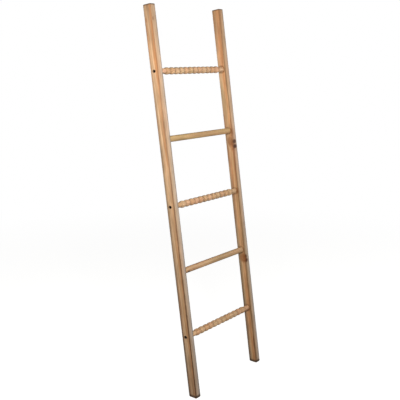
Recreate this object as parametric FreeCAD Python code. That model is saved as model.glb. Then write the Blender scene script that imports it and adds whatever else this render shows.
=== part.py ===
# Blanket ladder: two straight stiles that lean back against a wall, three beaded rungs bolted between
# them and two plain dowel rungs glued between them.
#
# Millimetres. The origin is on the floor, midway between the feet. +X runs along the rungs to the
# viewer's right, -Y is the front, +Z is up, and the tops of the stiles lean towards +Y.
# Every piece is shaped upright, with its length measured up the stile, and then leaned back.

import FreeCAD, Part
import math
import os

from FreeCAD import Vector

# whole ladder
STILE_LENGTH = 1524.0  # along the stile's centre line, from the floor
OVERALL_WIDTH = 450.0  # over the stiles' outer faces
LEAN_DEGREES = 8.2  # of the stiles, from upright

# stile section and ends
STILE_WIDTH = 29.0  # along X
STILE_DEPTH = 36.0  # front to back
EDGE_ROUND = 3.0  # on the four long edges
TOP_CHAMFER = 2.5
SOLE_CHAMFER = 3.0

# rung places, up the stile
FIRST_RUNG = 247.0  # floor to the lowest rung's axis
RUNG_PITCH = 257.5  # axis to axis

# plain dowel rungs
DOWEL_DIAMETER = 24.0
DOWEL_SOCKET_DEPTH = 12.0

# beaded rungs
BEAD_DIAMETER = 28.0  # over a bead's crown
GROOVE_DIAMETER = 20.5  # where two beads meet
BEAD_PITCH = 28.0
BEAD_COUNT = 12
NECK_DIAMETER = 21.0  # plain ends beside the beads, which run on into the stiles
NECK_SOCKET_DEPTH = 8.0

# joints
SOCKET_CLEARANCE = 0.1  # on the radius, round every rung end
RUNG_END_CHAMFER = 1.0

# socket head connector bolts, one through each stile into each end of a beaded rung
BOLT_DIAMETER = 6.0
BOLT_CLEARANCE = 0.3  # on the radius, in the stile
BOLT_HEAD_DIAMETER = 10.0
BOLT_HEAD_HEIGHT = 6.0
BOLT_HEAD_CHAMFER = 0.5
BOLT_TIP_CHAMFER = 0.8
HEX_ACROSS_FLATS = 5.0
HEX_DEPTH = 3.0
COUNTERBORE_DIAMETER = 11.5
HEAD_RECESS = 2.0  # outer face to the top of the head

# threaded inserts, flush with the beaded rungs' ends
INSERT_DIAMETER = 10.0
INSERT_LENGTH = 15.0
INSERT_CHAMFER = 0.8
INSERT_SLOT_WIDTH = 1.6  # for the driver that sets the insert
INSERT_SLOT_DEPTH = 1.5
BOLT_PAST_INSERT = 2.0
BOLT_TIP_ROOM = 3.0  # of hole beyond the bolt's tip

# places along X, each measured from the middle of the ladder outwards
OUTER_FACE = OVERALL_WIDTH / 2
INNER_FACE = OUTER_FACE - STILE_WIDTH
NECK_END = INNER_FACE + NECK_SOCKET_DEPTH
DOWEL_END = INNER_FACE + DOWEL_SOCKET_DEPTH
HEAD_TOP = OUTER_FACE - HEAD_RECESS
HEAD_SEAT = HEAD_TOP - BOLT_HEAD_HEIGHT
INSERT_END = NECK_END - INSERT_LENGTH
BOLT_TIP = INSERT_END - BOLT_PAST_INSERT
HOLE_BOTTOM = BOLT_TIP - BOLT_TIP_ROOM

LEFT, RIGHT = -1, 1
SIDES = {"left": LEFT, "right": RIGHT}

# from the floor up: the rung's place name and whether it is beaded
RUNGS = [("bottom", True), ("lower", False), ("middle", True), ("upper", False), ("top", True)]


def rung_height(index):
    return FIRST_RUNG + index * RUNG_PITCH


def lean(shape):
    """The upright shape, leaned back about the line that the feet stand on."""
    leaned = shape.copy()
    leaned.rotate(Vector(0, 0, 0), Vector(1, 0, 0), -LEAN_DEGREES)
    return leaned


def across(diameter, x_from, x_to, height):
    """A cylinder along X between two places, at a height up the stile."""
    low = min(x_from, x_to)
    return Part.makeCylinder(diameter / 2, abs(x_to - x_from), Vector(low, 0, height), Vector(1, 0, 0))


def level_edges(shape, height):
    """The shape's edges that lie level at one height."""
    return [e for e in shape.Edges if all(abs(v.Z - height) < 1e-4 for v in e.Vertexes)]


def make_blank(side):
    """A stile with its long edges rounded and its ends chamfered, leaned back and cut level at the floor."""
    below_floor = STILE_DEPTH  # more than the level cut takes off
    corner = Vector(min(side * OUTER_FACE, side * INNER_FACE), -STILE_DEPTH / 2, -below_floor)
    sawn = Part.makeBox(STILE_WIDTH, STILE_DEPTH, STILE_LENGTH + below_floor, corner)
    long_edges = [e for e in sawn.Edges if e.Length > STILE_LENGTH]
    rounded = lean(sawn.makeFillet(EDGE_ROUND, long_edges))
    chamfered = lean(sawn.makeChamfer(TOP_CHAMFER, level_edges(sawn, STILE_LENGTH)))
    floor_span = 4 * (OVERALL_WIDTH + STILE_DEPTH)
    floor_corner = Vector(-floor_span / 2, -floor_span / 2, -2 * below_floor)
    chamfered = chamfered.cut(Part.makeBox(floor_span, floor_span, 2 * below_floor, floor_corner))
    chamfered = chamfered.makeChamfer(SOLE_CHAMFER, level_edges(chamfered, 0))
    return rounded.common(chamfered)


def make_stile(side):
    stile = make_blank(side)
    for index, (_, beaded) in enumerate(RUNGS):
        height = rung_height(index)
        if beaded:
            socket = across(NECK_DIAMETER + 2 * SOCKET_CLEARANCE, side * INNER_FACE, side * NECK_END, height)
            hole = across(BOLT_DIAMETER + 2 * BOLT_CLEARANCE, side * NECK_END, side * HEAD_SEAT, height)
            counterbore = across(COUNTERBORE_DIAMETER, side * HEAD_SEAT, side * OUTER_FACE, height)
            cuts = [socket, hole, counterbore]
        else:
            cuts = [across(DOWEL_DIAMETER + 2 * SOCKET_CLEARANCE, side * INNER_FACE, side * DOWEL_END, height)]
        stile = stile.cut([lean(c) for c in cuts])
    return stile.Solids[0]


def make_beaded_rung(height):
    """Turned beads that touch in sharp grooves, between plain necks whose ends take the inserts."""
    neck, groove, crown = NECK_DIAMETER / 2, GROOVE_DIAMETER / 2, BEAD_DIAMETER / 2
    first_groove = -BEAD_COUNT * BEAD_PITCH / 2
    outline = [
        Vector(-NECK_END, 0, 0),
        Vector(-NECK_END, 0, neck - RUNG_END_CHAMFER),
        Vector(-NECK_END + RUNG_END_CHAMFER, 0, neck),
        Vector(first_groove, 0, neck),
        Vector(first_groove, 0, groove),
    ]
    edges = [Part.makeLine(a, b) for a, b in zip(outline, outline[1:])]
    for bead in range(BEAD_COUNT):
        start = first_groove + bead * BEAD_PITCH
        edges.append(Part.Arc(
            Vector(start, 0, groove),
            Vector(start + BEAD_PITCH / 2, 0, crown),
            Vector(start + BEAD_PITCH, 0, groove),
        ).toShape())
    mirrored = [Vector(-p.x, 0, p.z) for p in reversed(outline)]
    edges += [Part.makeLine(a, b) for a, b in zip(mirrored, mirrored[1:])]
    edges.append(Part.makeLine(mirrored[-1], outline[0]))
    rung = Part.Face(Part.Wire(edges)).revolve(Vector(0, 0, 0), Vector(1, 0, 0), 360)
    rung.translate(Vector(0, 0, height))
    for side in SIDES.values():
        insert_hole = across(INSERT_DIAMETER, side * INSERT_END, side * NECK_END, height)
        tip_hole = across(BOLT_DIAMETER + 2 * BOLT_CLEARANCE, side * HOLE_BOTTOM, side * INSERT_END, height)
        rung = rung.cut([insert_hole, tip_hole])
    return lean(rung.Solids[0])


def make_dowel_rung(height):
    dowel = across(DOWEL_DIAMETER, -DOWEL_END, DOWEL_END, height)
    end_edges = [e for e in dowel.Edges if e.Closed]
    return lean(dowel.makeChamfer(RUNG_END_CHAMFER, end_edges))


def make_bolt(side, height):
    head = across(BOLT_HEAD_DIAMETER, side * HEAD_SEAT, side * HEAD_TOP, height)
    rim = [e for e in head.Edges if e.Closed and abs(e.CenterOfMass.x - side * HEAD_TOP) < 1e-4]
    head = head.makeChamfer(BOLT_HEAD_CHAMFER, rim)
    corner_radius = HEX_ACROSS_FLATS / math.sqrt(3)
    corners = [
        Vector(side * HEAD_TOP, corner_radius * math.sin(math.radians(60 * i)),
               height + corner_radius * math.cos(math.radians(60 * i)))
        for i in range(7)
    ]
    hex_socket = Part.Face(Part.makePolygon(corners)).extrude(Vector(-side * HEX_DEPTH, 0, 0))
    shank = across(BOLT_DIAMETER, side * BOLT_TIP, side * HEAD_SEAT, height)
    tip = [e for e in shank.Edges if e.Closed and abs(e.CenterOfMass.x - side * BOLT_TIP) < 1e-4]
    shank = shank.makeChamfer(BOLT_TIP_CHAMFER, tip)
    return lean(head.cut(hex_socket).fuse(shank).removeSplitter().Solids[0])


def make_insert(side, height):
    body = across(INSERT_DIAMETER, side * INSERT_END, side * NECK_END, height)
    inner_rim = [e for e in body.Edges if e.Closed and abs(e.CenterOfMass.x - side * INSERT_END) < 1e-4]
    body = body.makeChamfer(INSERT_CHAMFER, inner_rim)
    bore = across(BOLT_DIAMETER, side * INSERT_END, side * NECK_END, height)
    slot_start = min(side * NECK_END, side * (NECK_END - INSERT_SLOT_DEPTH))
    slot = Part.makeBox(
        INSERT_SLOT_DEPTH, 2 * INSERT_DIAMETER, INSERT_SLOT_WIDTH,
        Vector(slot_start, -INSERT_DIAMETER, height - INSERT_SLOT_WIDTH / 2))
    return lean(body.cut([bore, slot]).Solids[0])


def make_ladder():
    """Every piece by its node's name."""
    pieces = {f"{name}_stile": make_stile(side) for name, side in SIDES.items()}
    for index, (place, beaded) in enumerate(RUNGS):
        height = rung_height(index)
        if not beaded:
            pieces[f"{place}_dowel_rung"] = make_dowel_rung(height)
            continue
        pieces[f"{place}_beaded_rung"] = make_beaded_rung(height)
        for name, side in SIDES.items():
            pieces[f"{place}_{name}_bolt"] = make_bolt(side, height)
            pieces[f"{place}_{name}_insert"] = make_insert(side, height)
    return pieces


os.makedirs("parts", exist_ok=True)
for node, solid in make_ladder().items():
    solid.exportStep(f"parts/{node}.step")
    box = solid.BoundBox
    print(f"{node:22s} volume {solid.Volume:11.1f}  valid {solid.isValid()}  "
          f"x {box.XMin:8.2f} {box.XMax:8.2f}  y {box.YMin:8.2f} {box.YMax:8.2f}  z {box.ZMin:8.2f} {box.ZMax:8.2f}")
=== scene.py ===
# Blanket ladder in honey-stained pine: two square stiles, three bead-turned rungs, two plain rungs,
# and black socket bolts sunk in the stiles. Metres, in the frame's own axes.

import math

import bmesh
import bpy
from mathutils import Euler, Matrix, Vector


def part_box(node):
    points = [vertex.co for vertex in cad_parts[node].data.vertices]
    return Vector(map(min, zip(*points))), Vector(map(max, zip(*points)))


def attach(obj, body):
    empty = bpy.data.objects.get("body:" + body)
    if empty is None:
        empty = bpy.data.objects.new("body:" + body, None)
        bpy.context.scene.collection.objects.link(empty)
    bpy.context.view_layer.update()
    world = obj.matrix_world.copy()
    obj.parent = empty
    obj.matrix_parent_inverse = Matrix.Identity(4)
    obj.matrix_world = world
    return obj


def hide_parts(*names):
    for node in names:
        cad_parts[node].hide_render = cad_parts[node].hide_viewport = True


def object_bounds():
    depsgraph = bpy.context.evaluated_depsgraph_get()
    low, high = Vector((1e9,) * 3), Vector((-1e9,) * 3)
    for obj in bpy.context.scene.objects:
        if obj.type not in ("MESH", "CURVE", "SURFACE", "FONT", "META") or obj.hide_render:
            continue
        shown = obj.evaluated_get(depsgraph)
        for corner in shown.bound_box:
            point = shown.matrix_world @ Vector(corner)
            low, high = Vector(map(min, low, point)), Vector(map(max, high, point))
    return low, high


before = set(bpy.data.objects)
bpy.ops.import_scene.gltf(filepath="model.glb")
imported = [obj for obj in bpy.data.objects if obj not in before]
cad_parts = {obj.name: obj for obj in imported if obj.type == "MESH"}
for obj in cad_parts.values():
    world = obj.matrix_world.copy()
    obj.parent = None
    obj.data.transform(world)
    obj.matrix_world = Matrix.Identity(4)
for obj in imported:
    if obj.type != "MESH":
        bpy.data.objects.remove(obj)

cadLow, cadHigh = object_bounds()
mm = 0.001
noiseSpan = (0.3, 0.7)  # most of a noise pattern's values lie between these

sideSigns = {"left": -1, "right": 1}
beadedRungs = ["bottom_beaded_rung", "middle_beaded_rung", "top_beaded_rung"]
plainRungs = ["lower_dowel_rung", "upper_dowel_rung"]


def middleOf(node):
    return sum(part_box(node), Vector()) / 2


outerFace = -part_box("left_stile")[0].x  # from the middle of the ladder to a stile's outer face
innerFace = -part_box("left_stile")[1].x
rise = middleOf(beadedRungs[-1]) - middleOf(beadedRungs[0])
lean = math.atan2(rise.y, rise.z)
leanBack = Matrix.Rotation(-lean, 4, "X")  # from upright to leaning on the wall behind


def linearColour(hexCode):
    channels = [int(hexCode[i:i + 2], 16) / 255 for i in (1, 3, 5)]
    return [c / 12.92 if c <= 0.04045 else ((c + 0.055) / 1.055) ** 2.4 for c in channels] + [1.0]


def addNode(tree, kind, inputs=None, stops=(), **settings):
    node = tree.nodes.new(kind)
    for name, value in settings.items():
        setattr(node, name, value)
    for key, value in (inputs or {}).items():
        if isinstance(value, bpy.types.NodeSocket):
            tree.links.new(value, node.inputs[key])
        else:
            node.inputs[key].default_value = value
    if stops:  # of a colour ramp, each a place and then a hex colour or a grey from 0 to 1
        elements = node.color_ramp.elements
        while len(elements) < len(stops):
            elements.new(1.0)
        for element, (position, colour) in zip(elements, stops):
            element.position = position
            element.color = linearColour(colour) if isinstance(colour, str) else [colour] * 3 + [1.0]
    return node


def newPiece(name, mesh):
    piece = bpy.data.objects.new(name, mesh)
    bpy.context.scene.collection.objects.link(piece)
    return piece


def addLathe(bm, profile, centre, sides):  # turns a list of (x, radius) about X
    rings = []
    for x, radius in profile:
        turns = [2 * math.pi * i / sides for i in range(sides if radius > 0 else 1)]
        rings.append([
            bm.verts.new(centre + Vector((x, radius * math.cos(t), radius * math.sin(t)))) for t in turns])
    for near, far in zip(rings, rings[1:]):
        for i in range(sides):
            j = i + 1
            corners = [near[i % len(near)], near[j % len(near)], far[j % len(far)], far[i % len(far)]]
            bm.faces.new(list(dict.fromkeys(corners)))


def meshFrom(bm, name):
    bmesh.ops.recalc_face_normals(bm, faces=bm.faces)
    mesh = bpy.data.meshes.new(name)
    bm.to_mesh(mesh)
    bm.free()
    return mesh


def bakeModifiers(piece):  # the evaluated shape becomes the piece's own plain mesh
    graph = bpy.context.evaluated_depsgraph_get()
    mesh = bpy.data.meshes.new_from_object(piece.evaluated_get(graph), depsgraph=graph)
    mesh.name = piece.name
    piece.modifiers.clear()
    piece.data = mesh


def drill(piece, bm):  # cuts a set of closed cutters out of a piece
    cutter = newPiece("cutter", meshFrom(bm, "cutter"))
    cut = piece.modifiers.new("drill", "BOOLEAN")
    cut.operation = "DIFFERENCE"
    cut.solver = "EXACT"
    cut.object = cutter
    bakeModifiers(piece)
    bpy.data.objects.remove(cutter)


def smoothBelow(piece, degrees):
    piece.data.polygons.foreach_set("use_smooth", [True] * len(piece.data.polygons))
    piece.data.set_sharp_from_angle(angle=math.radians(degrees))


# where the camera stands, as worked out from the ladder's outlines
camera = {
    "place": (-2.18798, -1.59513, 1.32148),
    "looks": (0.76686, 0.60881, -0.20318),
    "lens": 62.66,
    "sensor": 36.0,
}

cameraData = bpy.data.cameras.new("camera")
cameraData.lens = camera["lens"]
cameraData.sensor_width = camera["sensor"]
cameraObject = newPiece("camera", cameraData)
cameraObject.location = camera["place"]
cameraObject.rotation_euler = Vector(camera["looks"]).to_track_quat("-Z", "Y").to_euler()
bpy.context.scene.camera = cameraObject
print("camera placed")

# Pine, machine planed and sanded, stained honey, glazed darker along its edges and finished with a thin
# dull lacquer. The eye gets pale earlywood with darker, redder latewood lines along the board, arches where
# the saw ran flat to the rings, brown knots that the lines flow round, and hardly any shine. Painted into the
# colour beside the real stain: shade towards the feet, at the ends, in the grooves, in and round the
# counterbores and where each rung shadows its stile, grey-brown shade along the outline edges, and a pale
# sheen on the front faces.
pine = {
    "latewood": "#b37a45",
    "latewoodShare": 0.55,
    "heartStreak": "#b26c30",
    "glaze": "#5f3c1e",  # the darker glaze rubbed into edges and grooves; the same colour also paints the shade in the grooves, the rungs' shadows round their ends and one line of outline shade on each rung
    "outlineShade": "#5d5347",  # painted shade, grey brown, along the edges where a surface turns away at the outline
    "frontSheen": "#d6c8ba",  # a pale grey painted sheen on the front faces
    "streakCore": 0.2,  # of a streak's width, the part that gets its full strength
    "grooveGlazeAndShade": 0.4,  # share of glaze and painted shade at the bottom of a groove between beads
    "endGrain": "#463424",  # sawn ends drink the stain; the same colour also paints shade in the bands at the foot and the top
    "endShare": 0.9,
    "endTurn": 0.35,  # how much squarer to the board a face stands from no end stain to all of it
    "bore": "#2e190a",  # near-black brown: painted shade in and round each bolt's counterbore, also used for the dark mark by the lower dowel's left end
    "knotHalo": "#875024",
    "knotPitch": "#4c2000",  # resin-black heart of a knot
    "knotFade": [(0.0, 1.0), (0.5, 1.0), (0.66, 0.45), (1.0, 0.0)],  # from its middle out to two radii
    "knotBend": (3.2, 0.8),  # radii between which the lines turn to flow round a knot
    "knotPull": 0.9,
    "ringWidth": 4.5,  # mm, wide for pine, so that the lines show from a few metres
    "ringShade": [(0.0, 0.05), (0.4, 0.12), (0.8, 1.0), (0.92, 0.9), (1.0, 0.05)],  # latewood in one ring
    "spell": 2.5,  # rings, of a run of good or bad years
    "spellGain": 2.5,  # rings that such a run brings forward
    "wanderReach": 2.2,  # mm that a line strays sideways
    "toneStops": (0.34, 0.5, 0.66),  # where a board's three tones lie in their noise
    "fibreSpan": (0.25, 0.75),  # of the fibre noise, from its darkest to its palest
    "fibreDepth": 0.13,  # share of brightness, up and down
    "mottleDepth": 0.2,
    # noises drawn out along the board, in mm; each is shifted by so many times the board's seed, so that no
    # two of them run together
    "wander": {"width": 45.0, "length": 260.0, "detail": 2.0, "rough": 0.5, "shift": 1},
    "tone": {"width": 16.0, "length": 230.0, "detail": 2.0, "rough": 0.5, "shift": 3},
    # coarser than real fibres, which are too fine to show
    "fibre": {"width": 1.6, "length": 110.0, "detail": 3.0, "rough": 0.5, "shift": 0},
    # blotches where the stain took unevenly
    "mottle": {"width": 14.0, "length": 60.0, "detail": 4.0, "rough": 0.6, "shift": 5},
    "relief": 0.1,  # mm, between earlywood and latewood
    "fibreRelief": 0.5,  # of that
    "latheRelief": 0.8,
    "lathePitch": 0.9,  # mm, between the turning marks on a rung
    "rough": (0.5, 0.6),
    "shine": 0.25,
    "coat": 0.06,
    "coatRough": 0.35,
}


def grainNoise(tree, vector, grain, seed):
    placed = addNode(tree, "ShaderNodeMapping", {
        "Vector": vector,
        "Location": Vector(seed) * grain["shift"],
        "Scale": [1 / (grain[k] * mm) for k in ("width", "width", "length")],
    }).outputs["Vector"]
    return addNode(tree, "ShaderNodeTexNoise", {
        "Vector": placed, "Scale": 1.0, "Detail": grain["detail"], "Roughness": grain["rough"],
    }).outputs


def awayFrom(tree, vector, place, size):  # the offset from a place in units of a size, and its length
    offset = addNode(tree, "ShaderNodeMapping", {
        "Vector": vector,
        "Location": [-p / s for p, s in zip(place, size)],
        "Scale": [1 / (s * mm) for s in size],
    }).outputs["Vector"]
    return offset, addNode(tree, "ShaderNodeVectorMath", {0: offset}, operation="LENGTH").outputs["Value"]


def pineMaterial(name, board):
    material = bpy.data.materials.new(name)
    material.use_nodes = True
    tree = material.node_tree
    tree.nodes.clear()
    place = addNode(tree, "ShaderNodeTexCoord")

    # board coordinates: Z along the board, X and Y across it, measured from its middle line
    along = addNode(tree, "ShaderNodeMapping", {
        "Vector": place.outputs["Object"],
        "Location": -(board["turn"].to_matrix() @ board["centre"]),
        "Rotation": board["turn"],
    }).outputs["Vector"]
    facing = addNode(tree, "ShaderNodeMapping", {
        "Vector": place.outputs["Normal"],
        "Rotation": board["turn"],
    }, vector_type="NORMAL").outputs["Vector"]

    stray = grainNoise(tree, along, pine["wander"], board["seed"])["Color"]
    strayMiddle = addNode(tree, "ShaderNodeVectorMath", {0: stray, 1: (0.5, 0.5, 0.5)},
                          operation="SUBTRACT").outputs["Vector"]
    reach = 2 * pine["wanderReach"] * mm
    strayed = addNode(tree, "ShaderNodeVectorMath", {0: strayMiddle, 1: (reach, reach, 0), 2: along},
                      operation="MULTIPLY_ADD").outputs["Vector"]

    flow = strayed
    knots = []
    for knot in board["knots"]:  # the lines part and flow round each knot
        fromKnot, distance = awayFrom(tree, strayed, knot["place"], knot["size"])
        draw = addNode(tree, "ShaderNodeMapRange", {
            "Value": distance, "From Min": pine["knotBend"][0], "From Max": pine["knotBend"][1],
            "To Min": 0.0, "To Max": pine["knotPull"],
        }, interpolation_type="SMOOTHSTEP").outputs["Result"]
        inward = addNode(tree, "ShaderNodeVectorMath", {0: fromKnot, 1: [-s * mm for s in knot["size"]]},
                         operation="MULTIPLY").outputs["Vector"]
        pull = addNode(tree, "ShaderNodeVectorMath", {0: inward, "Scale": draw},
                       operation="SCALE").outputs["Vector"]
        flow = addNode(tree, "ShaderNodeVectorMath", {0: flow, 1: pull}, operation="ADD").outputs["Vector"]
        knots.append((knot, distance))

    # growth rings about the tree's pith, which lies beside the board and runs a little askew
    fromPith = addNode(tree, "ShaderNodeMapping", {
        "Vector": flow,
        "Location": Vector(board["pith"]) * mm,
        "Rotation": [math.radians(a) for a in board["askew"]],
    }).outputs["Vector"]
    across = addNode(tree, "ShaderNodeVectorMath", {0: fromPith, 1: (1, 1, 0)},
                     operation="MULTIPLY").outputs["Vector"]
    radius = addNode(tree, "ShaderNodeVectorMath", {0: across}, operation="LENGTH").outputs["Value"]
    ringWidth = pine["ringWidth"] * mm
    growth = addNode(tree, "ShaderNodeTexNoise", {
        "W": radius, "Scale": 1 / (pine["spell"] * ringWidth), "Detail": 1.0,
    }, noise_dimensions="1D").outputs["Fac"]
    years = addNode(tree, "ShaderNodeMath", {0: radius, 1: 1 / ringWidth}, operation="MULTIPLY").outputs[0]
    uneven = addNode(tree, "ShaderNodeMath", {0: growth, 1: pine["spellGain"], 2: years},
                     operation="MULTIPLY_ADD").outputs[0]
    year = addNode(tree, "ShaderNodeMath", {0: uneven}, operation="FRACT").outputs[0]
    late = addNode(tree, "ShaderNodeValToRGB", {"Fac": year}, pine["ringShade"]).outputs["Color"]

    fibre = grainNoise(tree, flow, pine["fibre"], board["seed"])["Fac"]
    tone = grainNoise(tree, flow, pine["tone"], board["seed"])["Fac"]
    early = addNode(tree, "ShaderNodeValToRGB", {"Fac": tone},
                    list(zip(pine["toneStops"], board["tones"]))).outputs["Color"]
    lateShare = addNode(tree, "ShaderNodeMath", {0: late, 1: pine["latewoodShare"]},
                        operation="MULTIPLY").outputs[0]
    wood = addNode(tree, "ShaderNodeMix", {0: lateShare, 6: early, 7: linearColour(pine["latewood"])},
                   data_type="RGBA").outputs[2]
    if "beads" in board:  # each bead took the stain a little differently
        bead = addNode(tree, "ShaderNodeAttribute", attribute_name="beadTone").outputs["Fac"]
        beadStain = addNode(tree, "ShaderNodeValToRGB", {"Fac": bead}, board["beads"]).outputs["Color"]
        wood = addNode(tree, "ShaderNodeMix", {0: board["beadShare"], 6: wood, 7: beadStain},
                       data_type="RGBA").outputs[2]
    shade = addNode(tree, "ShaderNodeMapRange", {
        "Value": fibre, "From Min": pine["fibreSpan"][0], "From Max": pine["fibreSpan"][1],
        "To Min": 1 - pine["fibreDepth"], "To Max": 1 + pine["fibreDepth"],
    }).outputs["Result"]
    wood = addNode(tree, "ShaderNodeVectorMath", {0: wood, "Scale": shade},
                   operation="SCALE").outputs["Vector"]

    upBoard = addNode(tree, "ShaderNodeSeparateXYZ", {"Vector": strayed}).outputs["Z"]
    for streak in board["streaks"]:  # stain and glaze, painted outline shade and painted sheen, each following one line of the board
        away = awayFrom(tree, strayed, (*streak["line"], 0), (*streak["width"], math.inf))[1]
        depth = addNode(tree, "ShaderNodeMapRange", {
            "Value": away, "From Min": 1.0, "From Max": pine["streakCore"], "To Min": 0.0, "To Max": 1.0,
        }, interpolation_type="SMOOTHSTEP").outputs["Result"]
        low, high = streak["strength"]
        strength = addNode(tree, "ShaderNodeMapRange", {
            "Value": upBoard, "From Min": 0.0, "From Max": board["length"], "To Min": low, "To Max": high,
        }).outputs["Result"]
        share = addNode(tree, "ShaderNodeMath", {0: depth, 1: strength}, operation="MULTIPLY").outputs[0]
        wood = addNode(tree, "ShaderNodeMix", {0: share, 6: wood, 7: linearColour(pine[streak["with"]])},
                       data_type="RGBA").outputs[2]

    mottle = grainNoise(tree, flow, pine["mottle"], board["seed"])["Fac"]
    blotch = addNode(tree, "ShaderNodeMapRange", {
        "Value": mottle, "From Min": noiseSpan[0], "From Max": noiseSpan[1],
        "To Min": 1 - pine["mottleDepth"], "To Max": 1 + pine["mottleDepth"],
    }).outputs["Result"]
    wood = addNode(tree, "ShaderNodeVectorMath", {0: wood, "Scale": blotch},
                   operation="SCALE").outputs["Vector"]

    if "beads" in board:  # glaze and painted shade lie in the grooves between beads
        groove = addNode(tree, "ShaderNodeAttribute", attribute_name="grooveDepth").outputs["Fac"]
        share = addNode(tree, "ShaderNodeMath", {0: groove, 1: pine["grooveGlazeAndShade"]},
                        operation="MULTIPLY").outputs[0]
        wood = addNode(tree, "ShaderNodeMix", {0: share, 6: wood, 7: linearColour(pine["glaze"])},
                       data_type="RGBA").outputs[2]

    for knot, distance in knots:
        half = addNode(tree, "ShaderNodeMath", {0: distance, 1: 0.5}, operation="MULTIPLY").outputs[0]
        fade = [(position, share * knot["depth"]) for position, share in pine["knotFade"]]
        cover = addNode(tree, "ShaderNodeValToRGB", {"Fac": half}, fade).outputs["Color"]
        wood = addNode(tree, "ShaderNodeMix", {0: cover, 6: wood, 7: linearColour(pine["knotHalo"])},
                       data_type="RGBA").outputs[2]

    # darker towards the feet, partly a painted shade for the light that falls off towards the floor; darkest
    # on the sawn ends, and in bands above the floor and below the top
    height = addNode(tree, "ShaderNodeSeparateXYZ", {"Vector": place.outputs["Object"]}).outputs["Z"]
    footwardToneAndShade = addNode(tree, "ShaderNodeMapRange", {
        "Value": height, "From Min": 0.0, "From Max": cadHigh.z, "To Min": board["footToneAndShade"], "To Max": 1.0,
    }).outputs["Result"]
    wood = addNode(tree, "ShaderNodeVectorMath", {0: wood, "Scale": footwardToneAndShade},
                   operation="SCALE").outputs["Vector"]
    upright = addNode(tree, "ShaderNodeSeparateXYZ", {"Vector": facing}).outputs["Z"]
    endOn = addNode(tree, "ShaderNodeMath", {0: upright}, operation="ABSOLUTE").outputs[0]
    dark = addNode(tree, "ShaderNodeMapRange", {
        "Value": endOn, "From Min": board["endFrom"], "From Max": board["endFrom"] + pine["endTurn"],
        "To Min": 0.0, "To Max": pine["endShare"],
    }).outputs["Result"]
    # bands of end stain and painted shade above the floor and below the top
    for end, (clean, full, depth) in board["endStainAndShade"].items():
        stainAndShade = addNode(tree, "ShaderNodeMapRange", {
            "Value": height if end == "foot" else upBoard,
            "From Min": clean, "From Max": full, "To Min": 0.0, "To Max": depth,
        }, interpolation_type="SMOOTHSTEP").outputs["Result"]
        dark = addNode(tree, "ShaderNodeMath", {0: dark, 1: stainAndShade}, operation="MAXIMUM").outputs[0]
    wood = addNode(tree, "ShaderNodeMix", {0: dark, 6: wood, 7: linearColour(pine["endGrain"])},
                   data_type="RGBA").outputs[2]
    for spot in board["spots"]:  # stain, glaze and painted shade gathered round one point, among them the rungs' painted shadows and the counterbores' painted shade
        away = awayFrom(tree, along, spot["place"], spot["size"])[1]
        cover = addNode(tree, "ShaderNodeMapRange", {
            "Value": away, "From Min": 1.0, "From Max": spot["full"], "To Min": 0.0, "To Max": spot["depth"],
        }, interpolation_type="SMOOTHSTEP").outputs["Result"]
        wood = addNode(tree, "ShaderNodeMix", {0: cover, 6: wood, 7: linearColour(pine[spot["with"]])},
                       data_type="RGBA").outputs[2]

    # latewood stands a little proud, and a turned rung keeps the faint marks of the chisel
    surface = addNode(tree, "ShaderNodeMath", {0: fibre, 1: pine["fibreRelief"], 2: late},
                      operation="MULTIPLY_ADD").outputs[0]
    if board["turned"]:
        marksAt = addNode(tree, "ShaderNodeSeparateXYZ", {"Vector": along}).outputs["Z"]
        marks = addNode(tree, "ShaderNodeTexNoise", {"W": marksAt, "Scale": 1 / (pine["lathePitch"] * mm)},
                        noise_dimensions="1D").outputs["Fac"]
        surface = addNode(tree, "ShaderNodeMath", {0: marks, 1: pine["latheRelief"], 2: surface},
                          operation="MULTIPLY_ADD").outputs[0]
    relief = addNode(tree, "ShaderNodeBump", {
        "Height": surface, "Strength": 0.5, "Distance": pine["relief"] * mm,
    }).outputs["Normal"]
    gloss = addNode(tree, "ShaderNodeMapRange", {
        "Value": fibre, "From Min": noiseSpan[0], "From Max": noiseSpan[1],
        "To Min": pine["rough"][0], "To Max": pine["rough"][1],
    }).outputs["Result"]
    lacquer = addNode(tree, "ShaderNodeBsdfPrincipled", {
        "Base Color": wood,
        "Roughness": gloss,
        "Specular IOR Level": pine["shine"],
        "Coat Weight": pine["coat"],
        "Coat Roughness": pine["coatRough"],
        "Normal": relief,
    })
    addNode(tree, "ShaderNodeOutputMaterial", {"Surface": lacquer.outputs["BSDF"]})
    return material


# each stile: a straight board, planed, its long edges and top eased, its foot cut level with the floor
stile = {
    "length": 1524.0,  # mm, as in the CAD
    "depth": 36.0,
    "edgeRound": 3.0,
    "arcSteps": 6,
    "stationStep": 24.0,  # mm between the mesh's rings of points
    # the sanded ease of each end, as mm along from the end and mm in from the faces
    "topEase": [(2.6, 0.05), (1.3, 0.5), (0.5, 1.3), (0.0, 2.5)],
    "footEase": [(0.0, 3.0), (0.6, 1.7), (1.6, 0.7), (3.2, 0.1), (6.0, 0.0)],
    "levelledOver": 60.0,  # mm of foot over which the rings turn level
    "socketRoom": 0.1,  # round every rung's end
    "neckSocket": 10.6,  # radius, as are the next two
    "boltHole": 3.3,
    "counterbore": 5.75,
    "headHeight": 6.0,
    "holeSides": 48,
    "mouthRound": 0.35,
    "drillPast": 5.0,  # mm that a cutter starts outside the face
    "sharpAngle": 35,  # degrees, above which an edge stays sharp
    "rungShadow": {"size": (5, 20, 20), "full": 0.7, "depth": 0.42},  # painted shadow that each rung casts round its end on the stile's inner face
    # painted shade in and round each counterbore, wider than the hole
    "boreShade": {"size": (60, 10.5, 6.4), "full": 0.6, "depth": 0.75},
    "endFrom": 0.45,  # how square to the board a face is where its end stain starts
    # mm above the floor and below the top where the end stain and painted shade start and are full, and how
    # much they cover
    "footStainAndShade": (16, 8, 0.86),
    "topStain": (7, 2, 0.8),
}

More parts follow.
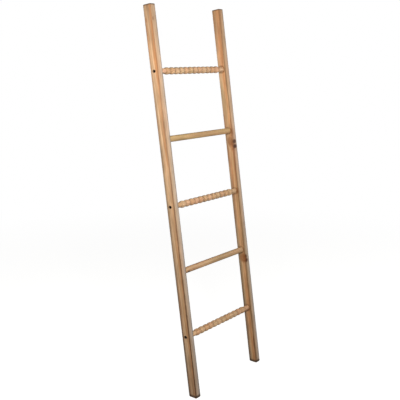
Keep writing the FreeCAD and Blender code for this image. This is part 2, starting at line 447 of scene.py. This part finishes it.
# places and sizes in board coordinates, in mm; a strength is the share covered at the foot and at the top
stileBoards = {
    "left": {
        "footToneAndShade": 0.62,  # of the top's brightness; partly painted shade for the light that falls off towards the floor
        "tones": ("#d8b489", "#e4bf96", "#d9a272"),  # olive, plain and pink patches of one board
        "seed": (3.1, 0.4, 1.7),
        "pith": (46, 20, 0),
        "askew": (0.5, -0.7, 0),
        "knots": [
            {"place": (-5.9, -18, 1469.7), "size": (3.0, 4.0, 5.0), "depth": 0.5},
            {"place": (-14.5, 10.2, 1465.9), "size": (4.0, 3.0, 6.0), "depth": 0.4},
        ],
        "streaks": [
            {"with": "heartStreak", "line": (-16.5, -15), "width": (9, 16), "strength": (0.42, 0.4)},
            # a painted sheen on the front face
            {"with": "frontSheen", "line": (16, -18), "width": (32, 9), "strength": (0.85, 0.35)},
            {"with": "glaze", "line": (-12.5, -17.5), "width": (5.5, 4), "strength": (0.95, 0.25)},
            # painted shade along the two outline arrises
            {"with": "outlineShade", "line": (-14.5, 18), "width": (7, 17), "strength": (0.85, 0.3)},
            {"with": "outlineShade", "line": (14.5, -18), "width": (9, 6), "strength": (0.65, 0.6)},
            {"with": "glaze", "line": (14.5, 18), "width": (6, 6), "strength": (0.7, 0.3)},
        ],
        "spots": [
            {"with": "glaze", "place": (0, 0, 1524), "size": (60, 60, 220), "full": 0.4, "depth": 0.28},
            {"with": "glaze", "place": (4, -18, 1180), "size": (26, 9, 480), "full": 0.3, "depth": 0.16},
            {"with": "glaze", "place": (-14.5, -4, 1500), "size": (6, 10, 60), "full": 0.3, "depth": 0.4},
            {"with": "glaze", "place": (-14.5, -4, 40), "size": (8, 16, 170), "full": 0.3, "depth": 0.28},
        ],
    },
    "right": {
        "footToneAndShade": 0.69,
        "tones": ("#cfae80", "#dfb283", "#d2986a"),
        "seed": (7.7, 2.3, 5.2),
        "pith": (-58, -26, 0),
        "askew": (-0.6, 0.6, 0),
        "knots": [
            {"place": (-8.5, -18, 961), "size": (7.0, 10.0, 16.0), "depth": 0.6},
            {"place": (-14.5, -5, 976), "size": (9.0, 11.0, 15.0), "depth": 0.52},
            {"place": (-13.0, -17, 476), "size": (7.0, 8.0, 8.0), "depth": 0.6},
            {"place": (-9.5, -18, 458), "size": (7.0, 9.0, 9.0), "depth": 0.6},
        ],
        "streaks": [
            {"with": "heartStreak", "line": (-16.5, -15), "width": (9, 18), "strength": (0.35, 0.34)},
            # a painted sheen on the front face
            {"with": "frontSheen", "line": (16, -18), "width": (30, 9), "strength": (0.85, 0.3)},
            {"with": "glaze", "line": (-12.5, -17.5), "width": (6, 6), "strength": (0.55, 0.45)},
            # painted shade along the two outline arrises
            {"with": "outlineShade", "line": (-14.5, 18), "width": (7, 20), "strength": (0.8, 0.25)},
            {"with": "outlineShade", "line": (14.5, -18), "width": (10, 6), "strength": (0.5, 0.4)},
            {"with": "glaze", "line": (14.5, 18), "width": (6, 6), "strength": (0.7, 0.3)},
        ],
        "spots": [
            {"with": "glaze", "place": (0, 0, 1524), "size": (60, 60, 220), "full": 0.4, "depth": 0.24},
            {"with": "knotPitch", "place": (-2, -18, 973), "size": (14, 11, 11), "full": 0.5, "depth": 0.88},
            {"with": "knotPitch", "place": (-1, -18, 952), "size": (15, 11, 11), "full": 0.5, "depth": 0.94},
            {"with": "knotPitch", "place": (-9, -18, 475), "size": (11, 10, 11), "full": 0.5, "depth": 0.85},
            {"with": "knotPitch", "place": (-6, -18, 458), "size": (12, 10, 10), "full": 0.5, "depth": 0.88},
            {"with": "knotHalo", "place": (-12, -18, 1016), "size": (16, 9, 24), "full": 0.3, "depth": 0.5},
            {"with": "knotHalo", "place": (-14.5, -17, 762), "size": (9, 13, 20), "full": 0.4, "depth": 0.6},
            {"with": "knotHalo", "place": (-14.5, -6, 470), "size": (12, 20, 25), "full": 0.5, "depth": 0.72},
            {"with": "glaze", "place": (-14.5, -18, 90), "size": (6, 7, 45), "full": 0.5, "depth": 0.6},
        ],
    },
}


def roundedRing(bm, height, inset):
    halfWidth = (outerFace - innerFace) / 2 - inset
    halfDepth = stile["depth"] / 2 * mm - inset
    bend = stile["edgeRound"] * mm
    level = max(0.0, 1 - height / (stile["levelledOver"] * mm)) * math.tan(lean)
    ring = []
    for corner, (sideX, sideY) in enumerate([(1, 1), (-1, 1), (-1, -1), (1, -1)]):
        for step in range(stile["arcSteps"] + 1):
            turn = math.pi / 2 * (corner + step / stile["arcSteps"])
            x = sideX * (halfWidth - bend) + bend * math.cos(turn)
            y = sideY * (halfDepth - bend) + bend * math.sin(turn)
            ring.append(bm.verts.new((x, y, height + y * level)))
    return ring


def makeStile(side, sign):
    bm = bmesh.new()
    length = stile["length"] * mm
    count = round(length / (stile["stationStep"] * mm))
    stations = [(h * mm, inset * mm) for h, inset in stile["footEase"]]
    stations += [(length * i / count, 0) for i in range(1, count)]
    stations += [(length - h * mm, inset * mm) for h, inset in stile["topEase"]]
    rings = [roundedRing(bm, h, inset) for h, inset in stations]
    for near, far in zip(rings, rings[1:]):
        for i in range(len(near)):
            j = (i + 1) % len(near)
            bm.faces.new((near[i], near[j], far[j], far[i]))
    bm.faces.new(rings[0])
    bm.faces.new(rings[-1])
    middle = sign * (outerFace + innerFace) / 2
    bmesh.ops.transform(bm, matrix=leanBack @ Matrix.Translation((middle, 0, 0)), verts=bm.verts)
    piece = newPiece(f"{side}_board", meshFrom(bm, side))

    # sockets for the rungs from inside, and for the beaded ones a bolt hole and a counterbore from outside
    cutters = bmesh.new()
    past = stile["drillPast"] * mm
    neck = stile["neckSocket"] * mm
    hole = stile["boltHole"] * mm
    bore = stile["counterbore"] * mm
    mouth = stile["mouthRound"] * mm
    for node in beadedRungs:
        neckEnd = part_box(node)[1].x
        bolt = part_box(node.replace("beaded_rung", f"{side}_bolt"))
        headTop = max(abs(bolt[0].x), abs(bolt[1].x))
        seat = headTop - stile["headHeight"] * mm
        profile = [
            (innerFace - past, 0), (innerFace - past, neck), (neckEnd, neck),
            (neckEnd, hole), (seat, hole), (seat, bore), (outerFace - mouth, bore),
            (outerFace + past, bore + mouth + past), (outerFace + past, 0)]
        addLathe(cutters, [(sign * x, r) for x, r in profile], middleOf(node), stile["holeSides"])
    for node in plainRungs:
        low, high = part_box(node)
        socket = (high.y - low.y) / 2 + stile["socketRoom"] * mm
        profile = [(innerFace - past, 0), (innerFace - past, socket), (high.x, socket), (high.x, 0)]
        addLathe(cutters, [(sign * x, r) for x, r in profile], middleOf(node), stile["holeSides"])
    drill(piece, cutters)
    smoothBelow(piece, stile["sharpAngle"])

    board = stileBoards[side]
    board["centre"] = Vector((middle, 0, 0))
    board["turn"] = Euler((lean, 0, 0))
    board["turned"] = False
    board["length"] = length
    board["endFrom"] = stile["endFrom"]
    footClean, footFull, footDepth = stile["footStainAndShade"]
    topClean, topFull, topDepth = stile["topStain"]
    board["endStainAndShade"] = {
        "foot": (footClean * mm, footFull * mm, footDepth),
        "top": (length - topClean * mm, length - topFull * mm, topDepth),
    }
    halfWidth = sign * (outerFace - innerFace) / 2 / mm
    for node in beadedRungs + plainRungs:
        at = (leanBack.inverted() @ middleOf(node)).z / mm
        # a painted shadow of the rung round its end on the inner face
        board["spots"].append({"with": "glaze", "place": (-halfWidth, 0, at), **stile["rungShadow"]})
        if node in beadedRungs:
            # painted shade in and round the counterbore on the outer face
            board["spots"].append({"with": "bore", "place": (halfWidth, 0, at), **stile["boreShade"]})
    piece.data.materials.append(pineMaterial(f"honey stained pine, {side} board", board))
    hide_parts(f"{side}_stile")
    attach(piece, "root")


for side, sign in sideSigns.items():
    makeStile(side, sign)
print("stiles planed and drilled")


# the beaded rungs: a row of beads that meet in sharp grooves, between plain necks
beadedRung = {
    "neckRadius": 10.5,  # mm, as in the CAD
    "grooveRadius": 10.25,
    "crownSpread": 0.25,  # mm that one bead's crown differs from the next, cut by hand
    "beadPitch": 28.0,
    "beadCount": 12,
    "endChamfer": 1.0,
    "stationStep": 2.0,
    "sides": 48,
    "weld": 0.01,  # mm within which the grid's points join
    "tipHole": 3.3,  # radius of the hole beyond the insert
    "tipRoom": 5.0,
    "drillPast": 5.0,
    "holeSides": 32,
    "sharpAngle": 40,
    "grooveDarkNarrowing": 3.0,  # the higher, the closer the glaze and painted shade keep to the grooves
    # each bead draws its tone from these
    "stains": [(0.0, "#c9ae88"), (0.3, "#e0bd9a"), (0.55, "#dba98d"), (0.8, "#d39c70"), (1.0, "#c0a77f")],
    "stainShare": 0.35,
}

hair = 0.0001  # keeps a station that falls on a groove on one side of it

# one value a row: its name, the sum that gives it, and the inputs, numbers or earlier rows that go in
rungSums = [
    # a flat grid has one column of points for each station along the rung and one for the middle of each end
    ("full", "MULTIPLY", "Rung End", 2.0),
    ("stepsWanted", "DIVIDE", "full", "Station Step"),
    ("steps", "ROUND", "stepsWanted"),
    ("columns", "ADD", "steps", 3.0),
    ("rows", "ADD", "Sides", 1.0),
    ("last", "ADD", "steps", 2.0),
    ("gridAlong", "ADD", "gridX", 0.5),
    ("columnAt", "MULTIPLY", "gridAlong", "last"),
    ("column", "ROUND", "columnAt"),
    ("free", "SUBTRACT", "column", 1.0),
    ("pastStart", "MAXIMUM", "free", 0.0),
    ("station", "MINIMUM", "pastStart", "steps"),
    ("onRim", "COMPARE", "free", "station", 0.5),
    ("step", "DIVIDE", "full", "steps"),
    ("fromStart", "MULTIPLY", "station", "step"),
    ("x", "SUBTRACT", "fromStart", "Rung End"),
    ("turns", "ADD", "gridY", 0.5),
    ("turn", "MULTIPLY", "turns", 2 * math.pi),
    # which bead a station is on, and how far from that bead's middle
    ("halfCount", "MULTIPLY", "Bead Count", 0.5),
    ("pitches", "DIVIDE", "x", "Bead Pitch"),
    ("along", "ADD", "pitches", "halfCount"),
    ("justPast", "ADD", "along", hair),
    ("bead", "FLOOR", "justPast"),
    ("intoBead", "SUBTRACT", "along", "bead"),
    ("offMiddle", "SUBTRACT", "intoBead", 0.5),
    ("fromMiddle", "MULTIPLY", "offMiddle", "Bead Pitch"),
    # the arc through both grooves and over the crown
    ("draw", "RANDOM", "bead", "Seed"),
    ("lower", "MULTIPLY", "draw", "Crown Spread"),
    ("crown", "SUBTRACT", "Crown Radius", "lower"),
    ("rise", "SUBTRACT", "crown", "Groove Radius"),
    ("halfPitch", "MULTIPLY", "Bead Pitch", 0.5),
    ("chordSquared", "MULTIPLY", "halfPitch", "halfPitch"),
    ("bothSquared", "MULTIPLY_ADD", "rise", "rise", "chordSquared"),
    ("twoRise", "MULTIPLY", "rise", 2.0),
    ("arc", "DIVIDE", "bothSquared", "twoRise"),
    ("arcSquared", "MULTIPLY", "arc", "arc"),
    ("offSquared", "MULTIPLY", "fromMiddle", "fromMiddle"),
    ("upSquared", "SUBTRACT", "arcSquared", "offSquared"),
    ("up", "SQRT", "upSquared"),
    ("drop", "SUBTRACT", "arc", "up"),
    ("beadRadius", "SUBTRACT", "crown", "drop"),
    # the necks and their chamfered ends
    ("distance", "ABSOLUTE", "x"),
    ("chamferFrom", "SUBTRACT", "Rung End", "End Chamfer"),
    ("intoChamfer", "SUBTRACT", "distance", "chamferFrom"),
    ("cut", "MAXIMUM", "intoChamfer", 0.0),
    ("neckRadius", "SUBTRACT", "Neck Radius", "cut"),
    ("beadsEnd", "MULTIPLY_ADD", "halfCount", "Bead Pitch", hair),
    ("onBeads", "LESS_THAN", "distance", "beadsEnd"),
    ("prouder", "SUBTRACT", "beadRadius", "neckRadius"),
    ("radius", "MULTIPLY_ADD", "prouder", "onBeads", "neckRadius"),
    # rolled into a tube
    ("rolled", "MULTIPLY", "radius", "onRim"),
    ("cosine", "COSINE", "turn"),
    ("sine", "SINE", "turn"),
    ("y", "MULTIPLY_ADD", "cosine", "rolled", "Depth"),
    ("z", "MULTIPLY_ADD", "sine", "rolled", "Height"),
    # for the stain: each bead's own tone, and how near a point is to a groove, where glaze and painted shade
    # lie
    ("toneSeed", "ADD", "Seed", 1.0),
    ("beadTone", "RANDOM", "bead", "toneSeed"),
    ("away", "ABSOLUTE", "fromMiddle"),
    ("toGroove", "DIVIDE", "away", "halfPitch"),
    ("narrowed", "POWER", "toGroove", beadedRung["grooveDarkNarrowing"]),
    ("grooveDepth", "MULTIPLY", "narrowed", "onBeads"),
]


def turnedRungTree():
    tree = bpy.data.node_groups.new("turnedRung", "GeometryNodeTree")
    face = tree.interface
    face.new_socket("Geometry", in_out="INPUT", socket_type="NodeSocketGeometry")
    for label in ("Rung End", "Station Step", "Bead Pitch", "Crown Radius", "Groove Radius", "Neck Radius",
                  "End Chamfer", "Crown Spread", "Depth", "Height"):
        face.new_socket(label, in_out="INPUT", socket_type="NodeSocketFloat")
    for label in ("Bead Count", "Sides", "Seed"):
        face.new_socket(label, in_out="INPUT", socket_type="NodeSocketInt")
    face.new_socket("Finish", in_out="INPUT", socket_type="NodeSocketMaterial")
    face.new_socket("Geometry", in_out="OUTPUT", socket_type="NodeSocketGeometry")
    known = {socket.name: socket for socket in addNode(tree, "NodeGroupInput").outputs}
    gridPlace = addNode(tree, "GeometryNodeInputPosition").outputs["Position"]
    onGrid = addNode(tree, "ShaderNodeSeparateXYZ", {"Vector": gridPlace}).outputs
    known["gridX"] = onGrid["X"]
    known["gridY"] = onGrid["Y"]
    for name, operation, *terms in rungSums:
        terms = [known.get(term, term) for term in terms]
        if operation == "RANDOM":
            known[name] = addNode(tree, "FunctionNodeRandomValue", {"ID": terms[0], "Seed": terms[1]},
                                  data_type="FLOAT").outputs[1]
        else:
            known[name] = addNode(tree, "ShaderNodeMath", dict(enumerate(terms)),
                                  operation=operation).outputs[0]
    shape = addNode(tree, "GeometryNodeMeshGrid", {
        "Size X": 1.0, "Size Y": 1.0, "Vertices X": known["columns"], "Vertices Y": known["rows"],
    }).outputs["Mesh"]
    for name in ("beadTone", "grooveDepth"):  # stored before the grid's points move
        shape = addNode(tree, "GeometryNodeStoreNamedAttribute", {
            "Geometry": shape, "Name": name, "Value": known[name],
        }, data_type="FLOAT", domain="POINT").outputs["Geometry"]
    corner = addNode(tree, "ShaderNodeCombineXYZ", {"X": known["x"], "Y": known["y"], "Z": known["z"]})
    shape = addNode(tree, "GeometryNodeSetPosition", {
        "Geometry": shape, "Position": corner.outputs["Vector"],
    }).outputs["Geometry"]
    shape = addNode(tree, "GeometryNodeMergeByDistance", {
        "Geometry": shape, "Distance": beadedRung["weld"] * mm,
    }).outputs["Geometry"]
    shape = addNode(tree, "GeometryNodeRealizeInstances", {"Geometry": shape}).outputs["Geometry"]
    shape = addNode(tree, "GeometryNodeSetMaterial", {
        "Geometry": shape, "Material": known["Finish"],
    }).outputs["Geometry"]
    addNode(tree, "NodeGroupOutput", {"Geometry": shape})
    return tree


def setInputs(piece, tree, values):
    maker = piece.modifiers.new(tree.name, "NODES")
    maker.node_group = tree
    sockets = {s.name: s.identifier for s in tree.interface.items_tree if s.in_out == "INPUT"}
    for label, value in values.items():
        maker[sockets[label]] = value


# what the rungs' finishes share: two lines of painted shade along each rung, one opposite the other, on its
# outline
rungFinish = {
    "tones": ("#c8a87c", "#dbb489", "#d3a580"),
    "footToneAndShade": 1.0,
    "knots": [],
    "spots": [],
    "endStainAndShade": {},
    "endFrom": 0.8,
    "turned": True,
    "lineRadius": 13.0,  # mm from the rung's axis to each line
    "greyOutlineShade": {"with": "outlineShade", "width": (8, 8), "strength": (0.55, 0.55)},
    "glazeOutlineShade": {"with": "glaze", "width": (7, 7), "strength": (0.55, 0.45)},
}

# the angle in degrees is how far back from the rung's top its grey line of painted outline shade lies; draw
# is the seed of its beads
rungBoards = {
    "bottom_beaded_rung": {
        "seed": (1.2, 6.1, 0.3), "pith": (30, 12, 0), "askew": (1.0, 0.6, 0), "outlineTurn": 33.5, "draw": 11,
    },
    "middle_beaded_rung": {
        "seed": (4.8, 3.3, 2.9), "pith": (-22, 26, 0), "askew": (-0.8, 0.9, 0), "outlineTurn": 18.4, "draw": 23,
    },
    "top_beaded_rung": {
        "seed": (9.4, 1.5, 7.6), "pith": (14, -32, 0), "askew": (0.7, -1.1, 0), "outlineTurn": 1.8, "draw": 37,
    },
    "lower_dowel_rung": {
        "seed": (2.6, 8.8, 4.4), "pith": (24, 24, 0), "askew": (0.9, 0.8, 0), "outlineTurn": 26.2,
        "footToneAndShade": 0.77,
        "spots": [  # the dark mark by its left end
            {"with": "bore", "place": (8.5, -8.5, -171), "size": (11, 11, 12), "full": 0.5, "depth": 0.9},
        ],
    },
    "upper_dowel_rung": {
        "seed": (6.3, 5.7, 9.1), "pith": (-28, 14, 0), "askew": (-1.0, 0.5, 0), "outlineTurn": 10.2,
        "footToneAndShade": 0.68,
        "tones": ("#c2a472", "#d8b681", "#cfa87a"),
    },
}


def rungMaterial(node):
    board = {**rungFinish, **rungBoards[node]}
    board["centre"] = middleOf(node)
    board["turn"] = Euler((0, -math.pi / 2, 0))
    board["length"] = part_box(node)[1].x
    outlineTurn = math.radians(board["outlineTurn"])
    up = board["lineRadius"] * math.cos(outlineTurn)
    back = board["lineRadius"] * math.sin(outlineTurn)
    # two lines of painted shade on the rung's outline
    board["streaks"] = [
        {"line": (-up, back), **board["greyOutlineShade"]},
        {"line": (up, -back), **board["glazeOutlineShade"]},
    ]
    if node in beadedRungs:
        board["beads"] = beadedRung["stains"]
        board["beadShare"] = beadedRung["stainShare"]
    return pineMaterial(f"honey stained pine, {node.replace('_', ' ')}", board)


def makeBeadedRung(node, tree):
    low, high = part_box(node)
    centre = middleOf(node)
    piece = newPiece(node.replace("beaded_rung", "beads"), bpy.data.meshes.new(node))
    setInputs(piece, tree, {
        "Rung End": high.x,
        "Station Step": beadedRung["stationStep"] * mm,
        "Bead Pitch": beadedRung["beadPitch"] * mm,
        "Crown Radius": (high.y - low.y) / 2,
        "Groove Radius": beadedRung["grooveRadius"] * mm,
        "Neck Radius": beadedRung["neckRadius"] * mm,
        "End Chamfer": beadedRung["endChamfer"] * mm,
        "Crown Spread": beadedRung["crownSpread"] * mm,
        "Depth": centre.y,
        "Height": centre.z,
        "Bead Count": beadedRung["beadCount"],
        "Sides": beadedRung["sides"],
        "Seed": rungBoards[node]["draw"],
        "Finish": rungMaterial(node),
    })
    bakeModifiers(piece)

    # each end is bored for its insert, and a little further for the bolt's tip
    holes = bmesh.new()
    past = beadedRung["drillPast"] * mm
    hole = beadedRung["tipHole"] * mm
    for side, sign in sideSigns.items():
        insertLow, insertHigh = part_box(node.replace("beaded_rung", f"{side}_insert"))
        insertEnd = min(abs(insertLow.x), abs(insertHigh.x))
        insertRadius = (insertHigh.y - insertLow.y) / 2
        tipRoom = insertEnd - beadedRung["tipRoom"] * mm
        profile = [
            (high.x + past, 0), (high.x + past, insertRadius), (insertEnd, insertRadius),
            (insertEnd, hole), (tipRoom, hole), (tipRoom, 0)]
        addLathe(holes, [(sign * x, r) for x, r in profile], centre, beadedRung["holeSides"])
    drill(piece, holes)
    smoothBelow(piece, beadedRung["sharpAngle"])
    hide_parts(node)
    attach(piece, "root")


# the plain rungs: straight dowel with chamfered ends
plainRung = {
    "stationStep": 8.0,  # mm
    "endChamfer": 1.0,
    "sides": 64,
    "sharpAngle": 35,
}


def makePlainRung(node):
    low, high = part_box(node)
    radius = (high.y - low.y) / 2
    chamfer = plainRung["endChamfer"] * mm
    count = round(2 * high.x / (plainRung["stationStep"] * mm))
    inner = high.x - chamfer
    profile = [(-high.x, 0), (-high.x, radius - chamfer)]
    profile += [(inner * (2 * i / count - 1), radius) for i in range(count + 1)]
    profile += [(high.x, radius - chamfer), (high.x, 0)]
    bm = bmesh.new()
    addLathe(bm, profile, middleOf(node), plainRung["sides"])
    piece = newPiece(node.replace("dowel_rung", "dowel"), meshFrom(bm, node))
    smoothBelow(piece, plainRung["sharpAngle"])
    piece.data.materials.append(rungMaterial(node))
    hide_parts(node)
    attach(piece, "root")


rungTree = turnedRungTree()
for node in beadedRungs:
    makeBeadedRung(node, rungTree)
for node in plainRungs:
    makePlainRung(node)
print("rungs turned")

# Steel socket bolts, rolled and machined, then black oxide finished and oiled. The eye gets a near-black,
# slightly brown dull metal with a broken highlight round the head's edge.
blackSteel = {
    "colour": "#17120e",
    "worn": "#2b221b",
    "patch": 1.2,  # mm
    "rough": (0.5, 0.65),
}

# Turned brass for the threaded inserts, which the assembled ladder hides. The eye would get a warm yellow
# metal, duller in patches where it was handled.
turnedBrass = {
    "colour": "#c7a252",
    "worn": "#9a7a3c",
    "patch": 0.4,
    "rough": (0.22, 0.4),
}

# what both metals share
metalWear = {
    "span": (0.45, 0.75),  # of the patches' noise, from the plain colour to the worn one
    "relief": 0.02,  # mm
}


def metalMaterial(name, finish):
    material = bpy.data.materials.new(name)
    material.use_nodes = True
    tree = material.node_tree
    tree.nodes.clear()
    place = addNode(tree, "ShaderNodeTexCoord").outputs["Object"]
    patches = addNode(tree, "ShaderNodeTexNoise", {
        "Vector": place, "Scale": 1 / (finish["patch"] * mm), "Detail": 3.0,
    }).outputs["Fac"]
    colour = addNode(tree, "ShaderNodeValToRGB", {"Fac": patches},
                     list(zip(metalWear["span"], (finish["colour"], finish["worn"])))).outputs["Color"]
    rough = addNode(tree, "ShaderNodeMapRange", {
        "Value": patches, "From Min": noiseSpan[0], "From Max": noiseSpan[1],
        "To Min": finish["rough"][0], "To Max": finish["rough"][1],
    }).outputs["Result"]
    relief = addNode(tree, "ShaderNodeBump", {
        "Height": patches, "Strength": 0.3, "Distance": metalWear["relief"] * mm,
    }).outputs["Normal"]
    metal = addNode(tree, "ShaderNodeBsdfPrincipled", {
        "Base Color": colour, "Metallic": 1.0, "Roughness": rough, "Normal": relief,
    })
    addNode(tree, "ShaderNodeOutputMaterial", {"Surface": metal.outputs["BSDF"]})
    return material


boltFinish = metalMaterial("black oxide steel", blackSteel)
insertFinish = metalMaterial("turned brass", turnedBrass)
for node in beadedRungs:
    for side in sideSigns:
        for kind, finish in (("bolt", boltFinish), ("insert", insertFinish)):
            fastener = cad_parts[node.replace("beaded_rung", f"{side}_{kind}")]
            fastener.data.materials.clear()
            fastener.data.materials.append(finish)
print("fasteners finished")

# the studio: a pale floor that fades into a white surround, a high soft key and two soft panels
studio = {
    "surround": 0.14,  # of white, as light on the ladder
    "floorReach": 8.0,
    "floorSides": 96,
    "floorDrop": 0.2,  # mm under the feet
    "floorColour": "#c4c3c0",
    "floorGlow": 0.8,
    "fade": (1.2, 3.5),
    "panels": [
        {"name": "key", "size": (0.9, 0.7), "power": 38,
         "from": (-1.3, -1.0, 1.55), "at": (-0.1, 0.1, 1.5)},
        {"name": "left panel", "size": (2.6, 1.6), "power": 46,
         "from": (-3.2, 2.9, 1.2), "at": (-0.2, 0.12, 1.6)},
        {"name": "right panel", "size": (2.6, 2.0), "power": 38,
         "from": (3.0, -2.5, 1.6), "at": (0, 0.1, 1.6)},
    ],
}

for panel in studio["panels"]:
    lamp = bpy.data.lights.new(panel["name"], "AREA")
    lamp.shape = "RECTANGLE"
    lamp.size, lamp.size_y = panel["size"]
    lamp.energy = panel["power"]
    lampObject = newPiece(panel["name"].replace(" ", "_"), lamp)
    lampObject.location = panel["from"]
    aim = Vector(panel["at"]) - Vector(panel["from"])
    lampObject.rotation_euler = aim.to_track_quat("-Z", "Y").to_euler()
    lampObject.visible_camera = False

world = bpy.data.worlds.new("white surround")
world.use_nodes = True
world.node_tree.nodes.clear()
seen = addNode(world.node_tree, "ShaderNodeLightPath").outputs["Is Camera Ray"]
brightness = addNode(world.node_tree, "ShaderNodeMapRange", {
    "Value": seen, "To Min": studio["surround"], "To Max": 1.0,
}).outputs["Result"]
surround = addNode(world.node_tree, "ShaderNodeBackground", {"Color": (1, 1, 1, 1), "Strength": brightness})
addNode(world.node_tree, "ShaderNodeOutputWorld", {"Surface": surround.outputs["Background"]})
bpy.context.scene.world = world
bpy.context.scene.view_settings.view_transform = "Standard"

floorMesh = bmesh.new()
bmesh.ops.create_circle(
    floorMesh, cap_ends=True, segments=studio["floorSides"], radius=studio["floorReach"])
floor = newPiece("floor", meshFrom(floorMesh, "floor"))
floor.data.transform(Matrix.Translation((0, 0, -studio["floorDrop"] * mm)))
floorMaterial = bpy.data.materials.new("matt white paper")
floorMaterial.use_nodes = True
floorTree = floorMaterial.node_tree
floorTree.nodes.clear()
floorPlace = addNode(floorTree, "ShaderNodeTexCoord").outputs["Object"]
floorAway = addNode(floorTree, "ShaderNodeVectorMath", {0: floorPlace}, operation="LENGTH").outputs["Value"]
floorFade = addNode(floorTree, "ShaderNodeMapRange", {
    "Value": floorAway, "From Min": studio["fade"][0], "From Max": studio["fade"][1],
}, interpolation_type="SMOOTHSTEP").outputs["Result"]
floorSeen = addNode(floorTree, "ShaderNodeLightPath").outputs["Is Camera Ray"]
nearStrength = addNode(floorTree, "ShaderNodeMath", {0: floorSeen, 1: studio["floorGlow"]},
                       operation="MULTIPLY").outputs[0]
farStrength = addNode(floorTree, "ShaderNodeMapRange", {
    "Value": floorSeen, "To Min": studio["surround"], "To Max": 1.0,
}).outputs["Result"]
nearGlow = addNode(floorTree, "ShaderNodeEmission", {"Strength": nearStrength}).outputs["Emission"]
farGlow = addNode(floorTree, "ShaderNodeEmission", {"Strength": farStrength}).outputs["Emission"]
paper = addNode(floorTree, "ShaderNodeBsdfDiffuse", {"Color": linearColour(studio["floorColour"])})
nearFloor = addNode(floorTree, "ShaderNodeAddShader", {0: paper.outputs["BSDF"], 1: nearGlow})
floorSurface = addNode(floorTree, "ShaderNodeMixShader", {
    0: floorFade, 1: nearFloor.outputs["Shader"], 2: farGlow,
})
addNode(floorTree, "ShaderNodeOutputMaterial", {"Surface": floorSurface.outputs["Shader"]})
floor.data.materials.append(floorMaterial)
print("studio lit")
